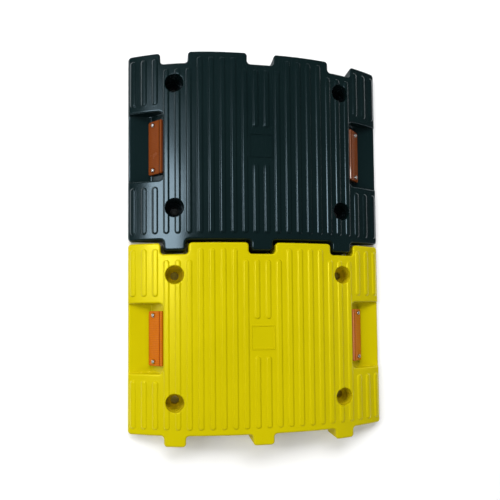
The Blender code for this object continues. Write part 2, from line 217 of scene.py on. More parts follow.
class Plan:
    """A flat region to be triangulated, with the lines that its creases follow."""

    def __init__(self, outline: Array, centres: Array, hole: float, clear: float = 0.0) -> None:
        """Start from the outer ring and round holes.

        Args:
            outline: Outer ring, anticlockwise.
            centres: Centres of the holes, one row each.
            hole: Radius of the holes.
            clear: Distance from the centres within which lines are left out.
        """
        self.rings = [outline, *(circle(x, y, hole) for x, y in centres)]
        self.centres = centres
        self.clear = 0.0
        self.points: list[Array] = []
        self.edges: list[Array] = []
        self.count = 0
        for ring in self.rings:
            self.add(ring)
        self.clear = clear

    def add(self, line: Array, closed: bool = True) -> None:
        """Keep triangle edges along a line, open or closed, but for stretches near a hole."""
        ids = self.count + np.arange(len(line))
        pairs = np.stack([ids, np.roll(ids, -1)], axis=1)
        start, span = line, np.roll(line, -1, axis=0) - line
        square = np.maximum((span * span).sum(axis=1), 1e-18)[:, None]
        share = ((self.centres - start[:, None]) * span[:, None]).sum(axis=2) / square
        near = start[:, None] + np.clip(share, 0.0, 1.0)[..., None] * span[:, None]
        keep = (np.linalg.norm(self.centres - near, axis=2) > self.clear).all(axis=1)
        keep[-1] &= closed
        self.edges.append(pairs[keep])
        self.scatter(line)

    def scatter(self, points: Array) -> None:
        """Add loose points."""
        self.points.append(points)
        self.count += len(points)

    def triangulate(self) -> tuple[Array, Array, list[Array]]:
        """Constrained Delaunay triangulation of the region.

        Returns:
            The points, the triangles (anticlockwise), and each ring's point numbers.
        """
        given = np.concatenate(self.points)
        edges = np.concatenate(self.edges)
        made, _, faces, origins, _, _ = delaunay_2d_cdt(
            given.tolist(), edges.tolist(), [], 0, 1e-8, True)
        points = np.array([(p[0], p[1]) for p in made])
        sizes = np.array(list(map(len, origins)))
        source = np.array(list(chain.from_iterable(origins)), dtype=int)
        target = np.repeat(np.arange(len(made)), sizes)
        place = np.zeros(len(given), dtype=int)
        place[source] = target
        points[target] = given[source]
        triangles = np.array(faces, dtype=int)
        middle = points[triangles].mean(axis=1)
        keep = inside(middle, self.rings[0])
        for hole in self.rings[1:]:
            keep &= ~inside(middle, hole)
        bounds = np.cumsum([0] + [len(ring) for ring in self.rings])
        rings = [place[low:high] for low, high in zip(bounds, bounds[1:])]
        return points, triangles[keep], rings


def wall(top: Array, bottom: Array, outward: bool) -> Array:
    """Triangles between two rings of point numbers that lie one above the other."""
    top_next, bottom_next = np.roll(top, -1), np.roll(bottom, -1)
    first = np.stack([bottom, bottom_next, top_next], axis=1)
    second = np.stack([bottom, top_next, top], axis=1)
    both = np.concatenate([first, second])
    return both if outward else both[:, ::-1]


def closed_solid(upper: Plan, lower: Plan, raise_upper: Callable[[Array], Array],
                 raise_lower: Callable[[Array], Array]) -> tuple[Array, Array]:
    """Closed surface with a top and an underside over two plans that share their rings.

    Args:
        upper: Plan of the top.
        lower: Plan of the underside.
        raise_upper: Places of plan points on the top, three coordinates each.
        raise_lower: Places of plan points on the underside.

    Returns:
        Points and outward-facing triangles.
    """
    top_plan, top_faces, top_rings = upper.triangulate()
    low_plan, low_faces, low_rings = lower.triangulate()
    points = np.concatenate([raise_upper(top_plan), raise_lower(low_plan)])
    parts = [top_faces, low_faces[:, ::-1] + len(top_plan)]
    for number, (top, low) in enumerate(zip(top_rings, low_rings)):
        parts.append(wall(top, low + len(top_plan), outward=number == 0))
    faces = np.concatenate(parts)
    used, renumbered = np.unique(faces, return_inverse=True)
    return points[used], renumbered.reshape(-1, 3)


def to_object(name: str, points: Array, faces: Array, material: bpy.types.Material,
              sharp_degrees: float = 38.0) -> bpy.types.Object:
    """Mesh object at the origin, smooth but for creases sharper than the given angle."""
    mesh = bpy.data.meshes.new(name)
    mesh.from_pydata(points.tolist(), [], faces.tolist())
    mesh.validate()
    mesh.shade_smooth()
    mesh.set_sharp_from_angle(angle=math.radians(sharp_degrees))
    mesh.materials.append(material)
    piece = bpy.data.objects.new(name, mesh)
    bpy.context.scene.collection.objects.link(piece)
    return piece


# ------------------------------------------------------------------ sizes

class Side(Enum):
    """Which edge of a module: the sign of X."""

    LEFT = -1
    RIGHT = 1


@dataclass(frozen=True)
class Reflector:
    """Sizes of one reflector: a lens on a back plate with two screws."""

    length: float = 72 * MM
    width: float = 26 * MM
    lens: float = 3.0 * MM
    plate: float = 1.5 * MM
    plate_inset: float = 0.6 * MM
    gap: float = 0.3 * MM
    end_gap: float = 0.8 * MM
    screw_from_end: float = 5.5 * MM
    screw_up_slope: float = -3.4 * MM
    screw_hole: float = 1.7 * MM

    @property
    def depth(self) -> float:
        """From the seat to the lens's face."""
        return 2 * self.gap + self.plate + self.lens

    @property
    def screws(self) -> Array:
        """Places of the screws: up the slope, and along Y from the middle."""
        along = self.length / 2 - self.screw_from_end
        return np.array([[self.screw_up_slope, -along], [self.screw_up_slope, along]])


@dataclass(frozen=True)
class Moulding:
    """One module's own shape, in axes whose Y = 0 is the edge that the tongues stand out of."""

    width: float = 350 * MM
    length: float = 250 * MM
    crest: float = 48.5 * MM
    edge: float = 10 * MM
    power: float = 2.5
    shell: float = 5 * MM
    corner: float = 4.5 * MM
    edge_round: float = 2.6 * MM
    foot_chamfer: float = 0.4 * MM

    tongue_x: tuple[float, ...] = (-114 * MM, 0.0, 114 * MM)
    tongue_width: float = 28 * MM
    tongue_length: float = 14 * MM
    notch_width: float = 36 * MM
    notch_depth: float = 15 * MM

    rib_pitch: float = 14.65 * MM
    ribs_per_side: int = 12
    rib_height: float = 1.5 * MM
    rib_foot: float = 4.2 * MM
    rib_flank: float = 2.6 * MM
    rib_half_width: float = 3.5 * MM
    rib_end: float = 8 * MM
    rib_notch_margin: float = 1.5 * MM

    pad: float = 32 * MM
    pad_frame: float = 1.4 * MM
    pad_height: float = 0.7 * MM
    pad_flank: float = 0.35 * MM
    pad_margin: float = 8.5 * MM

    hole_x: float = 114 * MM
    hole_from_end: float = 42 * MM
    bore: float = 12 * MM
    bore_draft: float = 0.3 * MM
    bore_round: float = 1.0 * MM
    bore_foot: float = 0.8 * MM
    hole: float = 5.5 * MM
    hole_chamfer: float = 0.5 * MM
    ledge: float = 9 * MM

    web: float = 3 * MM
    web_draft: float = 0.35 * MM
    outer_web_x: float = 146 * MM
    cross_bays: int = 4
    passage_x: float = 57 * MM
    passage_width: float = 38 * MM
    passage_height: float = 26 * MM

    pocket_end_gap: float = 10 * MM
    pocket_step: float = 2 * MM
    pocket_rim: float = 128.8 * MM
    pocket_corner: float = 6.5 * MM
    pocket_round: float = 2.2 * MM
    pocket_foot: float = 1.2 * MM
    pocket_draft: float = 0.5 * MM
    pocket_margin: float = 9 * MM
    lens_from_edge: float = 44.5 * MM
    reflector_above_floor: float = 0.15 * MM
    pilot_depth: float = 6.5 * MM
    pilot_boss: float = 4.5 * MM
    pilot_boss_height: float = 4 * MM

    reflector: Reflector = field(default_factory=Reflector)

    # -------------------------------------------------------------- arch and outline

    @property
    def half(self) -> float:
        """Half the width across the arch."""
        return self.width / 2

    @property
    def middle(self) -> float:
        """Middle of the module along Y."""
        return self.length / 2

    def arch(self, x: Array | float) -> Array:
        """Height of the arch: e + (h - e)(1 - |2x / W|^p)."""
        share = np.minimum(np.abs(x) / self.half, 1.0)
        return self.edge + (self.crest - self.edge) * (1.0 - share ** self.power)

    def outline(self, inset: float = 0.0, steps: int = 6) -> Array:
        """Plan of the module, with tongues and notches, moved inwards by an inset."""
        tongue = self.tongue_width / 2 - inset
        notch = self.notch_width / 2 + inset
        side, start, end = self.half - inset, inset, self.length - inset
        tip, floor = inset - self.tongue_length, self.length - inset - self.notch_depth
        near = [[(x - tongue, start), (x - tongue, tip), (x + tongue, tip), (x + tongue, start)]
                for x in self.tongue_x]
        far = [[(x + notch, end), (x + notch, floor), (x - notch, floor), (x - notch, end)]
               for x in reversed(self.tongue_x)]
        corners = [(-side, start), *chain(*near), (side, start), (side, end), *chain(*far),
                   (-side, end)]
        outer = max(self.corner - inset, 0.15 * MM)
        return rounded(np.array(corners), outer, self.corner + inset, steps)

    def rim(self) -> Array:
        """Outer ring shared by top and underside, with a point wherever a crease meets it."""
        ring = self.outline()
        side_cuts = np.concatenate([self.middle + sign * (self.pocket_half + self.pocket_levels)
                                    for sign in (-1, 1)])
        end_cuts = np.concatenate([self.passage_lines(), self.arch_lines()])
        crossings = [(ring, 0, side_cuts), (ring, 1, end_cuts)]
        pieces = [self.cut_straights(line, across, cuts) for line, across, cuts in crossings]
        extra = np.concatenate(pieces)
        return self.insert(ring, extra)

    @staticmethod
    def cut_straights(ring: Array, across: int, cuts: Array) -> Array:
        """Points where straight stretches of the ring, along one axis, pass given places.

        Args:
            ring: Closed outline.
            across: Axis that stays constant along the stretches: 0 for stretches along Y.
            cuts: Places along the other axis.

        Returns:
            Rows of (stretch number, x, y).
        """
        along = 1 - across
        ahead = np.roll(ring, -1, axis=0)
        level = np.abs(ahead[:, across] - ring[:, across]) < 1e-9
        low = np.minimum(ring[:, along], ahead[:, along])[:, None] + 0.05 * MM
        high = np.maximum(ring[:, along], ahead[:, along])[:, None] - 0.05 * MM
        hit = level[:, None] & (cuts > low) & (cuts < high)
        stretch, which = np.nonzero(hit)
        rows = np.empty((len(stretch), 3))
        rows[:, 0] = stretch
        rows[:, 1 + across] = ring[stretch, across]
        rows[:, 1 + along] = cuts[which]
        return rows

    @staticmethod
    def insert(ring: Array, extra: Array) -> Array:
        """Ring with extra points put into their stretches, in order along each."""
        own = np.column_stack([np.arange(len(ring)), ring])
        rows = np.concatenate([own, extra])
        start = ring[rows[:, 0].astype(int)]
        reach = np.linalg.norm(rows[:, 1:] - start, axis=1)
        return rows[np.lexsort((reach, rows[:, 0]))][:, 1:]

    def arch_lines(self) -> Array:
        """Places across the arch that keep its curve, half a rib pitch apart."""
        count = int(self.half / (self.rib_pitch / 2))
        return np.arange(-count, count + 1) * self.rib_pitch / 2

    # -------------------------------------------------------------- ribs, pad and holes

    def rib_rows(self) -> Array:
        """Ribs, broken by pockets, pad and notches: rows of (x, start, end) of their ends."""
        x = (np.arange(-self.ribs_per_side, self.ribs_per_side) + 0.5) * self.rib_pitch
        reach = self.notch_width / 2 + self.rib_half_width + self.rib_notch_margin
        behind = (np.abs(x[:, None] - np.array(self.tongue_x)) < reach).any(axis=1)
        start = np.full_like(x, self.rib_end)
        end = self.length - self.rib_end - np.where(behind, self.notch_depth, 0.0)
        beside = np.abs(x) + self.rib_half_width > self.half - self.lens_from_edge
        central = np.abs(x) < self.rib_pitch
        clear = np.where(beside, self.pocket_half + self.pocket_margin,
                         self.pad / 2 + self.pad_margin)
        broken = beside | central
        whole = np.column_stack([x, start, end])[~broken]
        near = np.column_stack([x, start, self.middle - clear])[broken]
        far = np.column_stack([x, self.middle + clear, end])[broken]
        rows = np.concatenate([whole, near, far])
        rows[:, 1] += self.rib_half_width
        rows[:, 2] -= self.rib_half_width
        return rows

    def rib_distance(self, points: Array) -> Array:
        """Distance of each point from the nearest rib's middle line."""
        x, start, end = self.rib_rows().T

        def nearest(part: Array) -> Array:
            """Distance of one block of points."""
            beyond = np.maximum(start - part[:, 1:], part[:, 1:] - end)
            return np.hypot(part[:, :1] - x, np.maximum(beyond, 0.0)).min(axis=1)

        return in_blocks(nearest, points)

    @property
    def rib_levels(self) -> Array:
        """Distances from a rib's middle line at which its flank is cut."""
        shares = np.array([-0.12, 0.0, 0.08, 0.16, 0.36, 0.47, 0.58, 0.69, 0.8, 0.9, 1.0, 1.12])
        return self.rib_foot - self.rib_flank * shares

    def holes(self) -> Array:
        """Centres of the bolt holes."""
        ends = (self.hole_from_end, self.length - self.hole_from_end)
        return np.array([(x, y) for x in (-self.hole_x, self.hole_x) for y in ends])

    def hole_distance(self, points: Array) -> Array:
        """Distance of each point from the nearest bolt hole's axis."""
        return np.linalg.norm(points[:, None] - self.holes(), axis=2).min(axis=1)

    def pad_distance(self, points: Array) -> Array:
        """Signed distance from the pad's rounded square edge, negative inside."""
        corner = self.pad_frame
        away = np.abs(points - np.array([0.0, self.middle])) - (self.pad / 2 - corner)
        outside = np.linalg.norm(np.maximum(away, 0.0), axis=1)
        return outside + np.minimum(away.max(axis=1), 0.0) - corner

    # -------------------------------------------------------------- pockets and seats

    @property
    def pocket_half(self) -> float:
        """Half the pocket's length along Y."""
        return self.reflector.length / 2 + self.pocket_end_gap

    @property
    def pocket_floor(self) -> float:
        """Height of the pocket's floor."""
        return self.edge - self.pocket_step

    @property
    def tilt(self) -> float:
        """Slope of the seat, in radians.

        The lens's upper edge is level with the arch, and the back plate's lower corner clears the
        pocket's floor. With a along the slope and d square to it between those two corners,
        a sin t + d cos t is the drop from one to the other.
        """
        along = self.reflector.width - self.reflector.plate_inset
        deep = self.reflector.depth - self.reflector.gap
        top = float(self.arch(self.half - self.lens_from_edge))
        drop = top - self.pocket_floor - self.reflector_above_floor
        return math.asin(drop / math.hypot(along, deep)) - math.atan2(deep, along)

    @property
    def seat(self) -> tuple[float, float]:
        """Centre of the seat in the right-hand pocket, as (x, z)."""
        top = self.half - self.lens_from_edge
        sine, cosine = math.sin(self.tilt), math.cos(self.tilt)
        half, depth = self.reflector.width / 2, self.reflector.depth
        x = top + cosine * half - sine * depth
        return x, float(self.arch(top)) - sine * half - cosine * depth

    def seat_point(self, up_slope: float, outward: float = 0.0) -> tuple[float, float]:
        """Point (x, z) up the slope from the seat's centre and off the seat."""
        x, z = self.seat
        sine, cosine = math.sin(self.tilt), math.cos(self.tilt)
        return x - cosine * up_slope + sine * outward, z + sine * up_slope + cosine * outward

    @property
    def pocket_levels(self) -> Array:
        """Distances out from the pocket's edge at which its rounded walls are cut."""
        outer = [*quarter_places(self.pocket_round), self.pocket_round + 0.3 * MM]
        foot = -self.pocket_draft - quarter_places(self.pocket_foot)
        return np.concatenate([foot[::-1], outer])

    def pocket_distance(self, points: Array) -> Array:
        """Signed distance from the pockets' edges, negative inside.

        Each pocket is a rectangle with two rounded inner corners, endless towards the outside.
        """
        across = self.pocket_rim + self.pocket_corner - np.abs(points[:, 0])
        along = np.abs(points[:, 1] - self.middle) - (self.pocket_half - self.pocket_corner)
        outside = np.hypot(np.maximum(across, 0.0), np.maximum(along, 0.0))
        return outside + np.minimum(np.maximum(across, along), 0.0) - self.pocket_corner

    def pocket_line(self, offset: float, side: Side) -> Array:
        """Line at an offset from a pocket's edge, open where it meets the module's side."""
        radius = self.pocket_corner + offset
        turn = np.linspace(math.pi / 2, math.pi, 9)
        x = self.pocket_rim + self.pocket_corner + radius * np.cos(turn)
        y = self.pocket_half - self.pocket_corner + radius * np.sin(turn)
        last = self.half - SHORT_OF_EDGE
        x = np.concatenate([[last], x, x[::-1], [last]])
        y = np.concatenate([[self.pocket_half + offset], y, -y[::-1], [-self.pocket_half - offset]])
        line = np.stack([x * side.value, self.middle + y], axis=1)
        return divided(line, LINE_SPACING, closed=False)

    @property
    def seat_run(self) -> tuple[float, float, float]:
        """How far the seat's plan is drawn in: (its foot, its head in plan, its head in place).

        The pocket's inner wall leans in under the tread, so its foot is nearer the middle of the
        module than its rim. The plan keeps the foot just outside the rim, and places stretch it.
        """
        foot = self.seat_point(-self.reflector.width / 2)[0] + 3 * MM
        head_plan = self.pocket_rim + self.pocket_draft
        head_place = self.seat_point(self.reflector.width / 2 + self.reflector.end_gap)[0]
        return foot, head_plan, head_place

    def stretched(self, points: Array, depth: Array) -> Array:
        """True |x| of plan points, where depth is 0 at a pocket's rim and 1 at its wall's foot."""
        foot, head_plan, head_place = self.seat_run
        share = ramp((foot - np.abs(points[:, 0])) / (foot - head_plan))
        return np.abs(points[:, 0]) - (head_plan - head_place) * share * depth

    def plan_of(self, x: float) -> float:
        """Plan |x| that is drawn out to a true |x| on the seat."""
        foot, head_plan, head_place = self.seat_run
        return foot - (foot - x) * (foot - head_plan) / (foot - head_place)

    def pocket_surface(self, x: Array, sunk: float = 0.0) -> Array:
        """Height of a pocket's floor and seat at a true |x|, or that far beneath them."""
        seat_x, seat_z = self.seat
        slope = math.tan(self.tilt)
        seat = seat_z + (seat_x - x) * slope - sunk / math.cos(self.tilt)
        return softer_max(np.full_like(x, self.pocket_floor - sunk), seat, 1.5 * MM)

    def pits(self, points: Array) -> Array:
        """Distance of plan points, on the slope, from the nearest screw hole in a seat."""
        foot, head_plan, head_place = self.seat_run
        stretch = (foot - head_place) / (foot - head_plan) / math.cos(self.tilt)
        up, along = self.reflector.screws.T
        centre = self.plan_of(self.seat_point(float(up[0]))[0])
        slope = (np.abs(points[:, :1]) - centre) * stretch
        return np.hypot(slope, points[:, 1:] - self.middle - along).min(axis=1)

    def pit_line(self, number: int, radius: float, side: Side) -> Array:
        """Ring at a radius about a screw hole, as it lies in the plan."""
        foot, head_plan, head_place = self.seat_run
        stretch = (foot - head_place) / (foot - head_plan) / math.cos(self.tilt)
        up, along = self.reflector.screws[number]
        ring = circle(0.0, 0.0, radius, 20)
        x = self.plan_of(self.seat_point(float(up))[0]) + ring[:, 0] / stretch
        return np.stack([x * side.value, self.middle + along + ring[:, 1]], axis=1)

    # -------------------------------------------------------------- tread side

    def tread(self, points: Array) -> Array:
        """Places of plan points on the tread side.

        The arch carries the ribs and the pad's frame. Pockets and counterbores cut into it with a
        rounded rim, a steep wall and a rounded foot, and the outer edge is rounded off last.

        Args:
            points: Plan points, one row each.

        Returns:
            Their places, three coordinates each.
        """
        from_rib = self.rib_distance(points)
        height = self.arch(points[:, 0])
        height = height + self.rib_height * flank((self.rib_foot - from_rib) / self.rib_flank)
        height = height + self.pad_rise(points)
        x = np.abs(points[:, 0])
        height, x = self.cut_pockets(points, height, x)
        height = self.cut_bores(points, height)
        height = height - quarter(edge_distance(points, self.outline()), self.edge_round)
        placed = np.stack([np.copysign(x, points[:, 0]), points[:, 1], height], axis=1)
        return placed - self.pilot_drop(points)

    def pad_rise(self, points: Array) -> Array:
        """Height of the frame round the pad: up over one flank and down over another."""
        edge = -self.pad_distance(points)
        up = ease(edge / self.pad_flank)
        down = ease((edge - self.pad_frame) / self.pad_flank)
        return self.pad_height * (up - down)

    def cut_pockets(self, points: Array, height: Array, x: Array) -> tuple[Array, Array]:
        """Heights and true |x| after the pockets are cut."""
        out = self.pocket_distance(points)
        depth = ramp(-out / self.pocket_draft)
        x = np.where(out < 0, self.stretched(points, depth), x)
        floor = self.pocket_surface(x)
        room = np.maximum(height - floor, 0.5 * MM)
        rim = np.minimum(self.pocket_round, 0.4 * room)
        foot = np.minimum(self.pocket_foot, 0.4 * room)
        outside = height - quarter(np.maximum(out, 0.0), rim)
        cheek = (height - rim) * (1 - depth) + (floor + foot) * depth
        bottom = floor + quarter(-out - self.pocket_draft, foot)
        inner = np.where(-out > self.pocket_draft, bottom, cheek)
        return np.where(out < 0, inner, outside), x

    def cut_bores(self, points: Array, height: Array) -> Array:
        """Heights after the counterbores are cut."""
        radius = self.hole_distance(points)
        out = radius - self.bore
        depth = ramp(-out / self.bore_draft)
        outside = height - quarter(np.maximum(out, 0.0), self.bore_round)
        cheek = (height - self.bore_round) * (1 - depth) + (self.ledge + self.bore_foot) * depth
        bottom = self.ledge + quarter(-out - self.bore_draft, self.bore_foot)
        bottom = bottom - np.clip(self.hole + self.hole_chamfer - radius, 0.0, self.hole_chamfer)
        inner = np.where(-out > self.bore_draft, bottom, cheek)
        return np.where(out < 0, inner, outside)

    def pilot_drop(self, points: Array) -> Array:
        """How far the screws' pilot holes sink, square to the seat."""
        inner = self.reflector.screw_hole - 0.1 * MM
        depth = self.pilot_depth * ramp((self.reflector.screw_hole - self.pits(points))
                                        / (self.reflector.screw_hole - inner))
        depth = np.where(self.pocket_distance(points) < 0, depth, 0.0)
        lean = np.sign(points[:, 0]) * math.sin(self.tilt)
        return np.stack([lean * depth, np.zeros_like(depth), math.cos(self.tilt) * depth], axis=1)

    def tread_plan(self, rim: Array) -> Plan:
        """Plan of the tread side with every line that its shape follows."""
        plan = Plan(rim, self.holes(), self.hole, self.hole + CLEAR_OF_HOLE)
        for inset in [*quarter_places(self.edge_round, 5)[1:], self.edge_round + 0.3 * MM]:
            plan.add(divided(self.outline(inset), LINE_SPACING))
        for x, start, end in self.rib_rows():
            by_bore = abs(abs(x) - self.hole_x) < self.bore + self.rib_foot
            spacing = 2.5 * MM if by_bore else 12 * MM
            for radius in self.rib_levels:
                plan.add(divided(stadium(x, start, end, radius), spacing))
        foot = -self.bore_draft - quarter_places(self.bore_foot)
        mouth = [*quarter_places(self.bore_round), self.bore_round + 0.25 * MM]
        radii = self.bore + np.concatenate([mouth, foot])
        for x, y in self.holes():
            for radius in [*radii, self.hole + self.hole_chamfer]:
                plan.add(circle(x, y, radius))
        for side in Side:
            self.add_pocket_lines(plan, side)
        for inset in (0.0, self.pad_flank / 2, self.pad_flank, self.pad_frame,
                      self.pad_frame + self.pad_flank / 2, self.pad_frame + self.pad_flank):
            half = self.pad / 2 - inset
            square = np.array([(-half, -half), (half, -half), (half, half), (-half, half)])
            square[:, 1] += self.middle
            corner = max(self.pad_frame - inset, 0.2 * MM)
            plan.add(divided(rounded(square, corner, 0.0, 4), LINE_SPACING))
        plan.scatter(self.loose_points())
        return plan

    def add_pocket_lines(self, plan: Plan, side: Side) -> None:
        """Lines of one pocket: its walls, the seat's foot and the screw holes."""
        for offset in self.pocket_levels:
            plan.add(self.pocket_line(offset, side), closed=False)
        seat_x, seat_z = self.seat
        crease = seat_x + (seat_z - self.pocket_floor) / math.tan(self.tilt)
        reach = self.pocket_half - self.pocket_draft - self.pocket_foot - 0.3 * MM
        y = np.linspace(-reach, reach, 14) + self.middle
        for offset in np.linspace(-1.8, 1.8, 7) * MM:
            x = np.full_like(y, (self.plan_of(crease + offset)) * side.value)
            plan.add(np.stack([x, y], axis=1), closed=False)
        for number in range(len(self.reflector.screws)):
            for radius in (self.reflector.screw_hole, self.reflector.screw_hole - 0.1 * MM):
                plan.add(self.pit_line(number, radius, side))

    def loose_points(self) -> Array:
        """Points over the plain stretches, clear of every line."""
        x = np.arange(-47, 48) * self.rib_pitch / 4
        y = np.arange(-self.tongue_length + 3 * MM, self.length, 6 * MM)
        grid = np.stack(np.meshgrid(x, y, indexing="ij"), axis=-1).reshape(-1, 2)
        grid = grid[inside(grid, self.outline(self.edge_round + CLEAR_OF_LINE))]
        rib = self.rib_distance(grid)
        hole = self.hole_distance(grid)
        pocket = self.pocket_distance(grid)
        pad = self.pad_distance(grid)
        crown = self.rib_foot - self.rib_flank
        keep = (rib > self.rib_foot + CLEAR_OF_LINE) | (rib < crown - CLEAR_OF_LINE)
        keep &= hole > self.bore + self.bore_round + CLEAR_OF_LINE
        keep &= (pocket > self.pocket_round + CLEAR_OF_LINE) | (pocket < -3 * MM)
        keep &= (pad > CLEAR_OF_LINE) | (pad < -self.pad_frame - self.pad_flank - CLEAR_OF_LINE)
        keep &= (self.pits(grid) > 3 * MM) | (pocket > 0)
        return grid[keep]

    # -------------------------------------------------------------- underside

    def passage_lines(self) -> Array:
        """Places across the two cable passages at which their round tops are cut."""
        half = self.passage_width / 2
        turn = np.linspace(math.pi / 20, math.pi * 19 / 20, 11)
        across = np.concatenate([[-half, -half + SHORT_OF_EDGE], -half * np.cos(turn),
                                 [half - SHORT_OF_EDGE, half]])
        return np.concatenate([across - self.passage_x, across + self.passage_x])

    def passage_height_at(self, x: Array) -> Array:
        """Height of the round-topped cable passages, 0 beside them."""
        half = self.passage_width / 2
        away = np.abs(np.abs(x) - self.passage_x)
        crown = self.passage_height - half + np.sqrt(np.maximum(half * half - away * away, 0.0))
        return np.where(away < half - 0.03 * MM, crown, 0.0)

    def web_places(self) -> tuple[Array, Array]:
        """Middles of the webs along Y, and of those along X."""
        beside = self.passage_width / 2 + self.web
        half = [self.passage_x - beside, self.passage_x + beside, self.hole_x, self.outer_web_x]
        along = np.array([-x for x in reversed(half)] + [0.0] + half)
        across = np.linspace(self.hole_from_end, self.length - self.hole_from_end,
                             self.cross_bays + 1)
        return along, across

    def room(self, points: Array) -> Array:
        """Distance into a hollow bay: from the nearest wall, web or bolt boss."""
        along, across = self.web_places()
        shell = edge_distance(points, self.outline()) - self.shell
        web = np.abs(points[:, :1] - along).min(axis=1) - self.web / 2
        cross = np.abs(points[:, 1:] - across).min(axis=1) - self.web / 2
        boss = self.hole_distance(points) - self.bore - self.shell
        return np.minimum(np.minimum(shell, web), np.minimum(cross, boss))

    def underside(self, points: Array) -> Array:
        """Places of plan points on the underside.

        Walls, webs and bosses stand on the ground or on the crown of a cable passage. Between them
        the bays rise to a ceiling one shell beneath the tread, or beneath a pocket.
        """
        x = np.abs(points[:, 0])
        ceiling = self.arch(x) - self.shell
        lining = self.pocket_distance(points) - self.shell
        pocket = np.minimum(self.pocket_surface(x, self.shell), ceiling)
        boss = self.pilot_boss_distance(points)
        pocket = pocket - self.pilot_boss_height * ramp(1 - boss / self.web_draft)
        ceiling = pocket + (ceiling - pocket) * ramp(lining / self.web_draft)
        foot = self.passage_height_at(points[:, 0])
        height = foot + (ceiling - foot) * ramp(self.room(points) / self.web_draft)
        rim = self.foot_chamfer - edge_distance(points, self.outline())
        hole = self.foot_chamfer + self.hole - self.hole_distance(points)
        height = np.maximum(height, np.maximum(rim, hole))
        return np.column_stack([points, height])

    def pilot_boss_places(self) -> Array:
        """Plan places of the small bosses behind the seats, where the pilot holes reach."""
        up, along = self.reflector.screws.T
        x = self.seat_point(float(up[0]), -self.pilot_depth)[0]
        return np.array([(sign * x, self.middle + y) for sign in (-1, 1) for y in along])

    def pilot_boss_distance(self, points: Array) -> Array:
        """Distance out from the edge of the nearest pilot boss."""
        away = np.linalg.norm(points[:, None] - self.pilot_boss_places(), axis=2)
        return away.min(axis=1) - self.pilot_boss

    def underside_plan(self, rim: Array) -> Plan:
        """Plan of the underside with every line that its shape follows."""
        plan = Plan(rim, self.holes(), self.hole, self.hole + CLEAR_OF_HOLE)
        for inset in (self.foot_chamfer, self.shell, self.shell + self.web_draft):
            plan.add(divided(self.outline(inset), UNDERSIDE_SPACING))
        along, across = self.web_places()
        offsets = np.array([-self.web / 2 - self.web_draft, -self.web / 2, self.web / 2,
                            self.web / 2 + self.web_draft])
        for x in chain((along[:, None] + offsets).ravel(), self.passage_lines()):
            plan.add(self.lengthwise_line(float(x)), closed=False)
        reach = self.half - 1 * MM
        for y in (across[:, None] + offsets).ravel():
            line = np.array([(-reach, y), (reach, y)])
            plan.add(divided(line, WEB_SPACING, closed=False), closed=False)
        for x, y in self.holes():
            for radius in (self.hole + self.foot_chamfer, self.bore + self.shell,
                           self.bore + self.shell + self.web_draft):
                plan.add(circle(x, y, radius))
        for x, y in self.pilot_boss_places():
            plan.add(circle(x, y, self.pilot_boss, 28))
            plan.add(circle(x, y, self.pilot_boss + self.web_draft, 28))
        for side in Side:
            plan.add(self.pocket_line(self.shell, side)[1:-1], closed=False)
            plan.add(self.pocket_line(self.shell + self.web_draft, side)[1:-1], closed=False)
        return plan

    def lengthwise_line(self, x: float) -> Array:
        """Line along Y at x, just short of the module's ends there."""
        tongues = np.abs(x - np.array(self.tongue_x))
        start = -self.tongue_length if (tongues < self.tongue_width / 2).any() else 0.0
        end = self.length - (self.notch_depth if (tongues < self.notch_width / 2).any() else 0.0)
        line = np.array([(x, start + SHORT_OF_EDGE), (x, end - SHORT_OF_EDGE)])
        return divided(line, WEB_SPACING, closed=False)

    def solid(self) -> tuple[Array, Array]:
        """Points and triangles of the whole moulding."""
        rim = divided(self.rim(), LINE_SPACING)
        return closed_solid(self.tread_plan(rim), self.underside_plan(rim), self.tread,
                            self.underside)


# ------------------------------------------------------------------ reflector parts

@dataclass(frozen=True)
class Seat:
    """Place of one reflector: the axes are up the slope, along the module, and off the seat."""

    moulding: Moulding
    start: float
    side: Side

    def place(self, points: Array) -> Array:
        """World places of points given in the seat's axes."""
        up, along, off = points.T
        x, z = self.moulding.seat
        sine, cosine = math.sin(self.moulding.tilt), math.cos(self.moulding.tilt)
        sign = self.side.value
        return np.stack([
            sign * (x - cosine * up + sine * off),
            self.start + self.moulding.middle - sign * along,
            z + sine * up + cosine * off,
        ], axis=1)


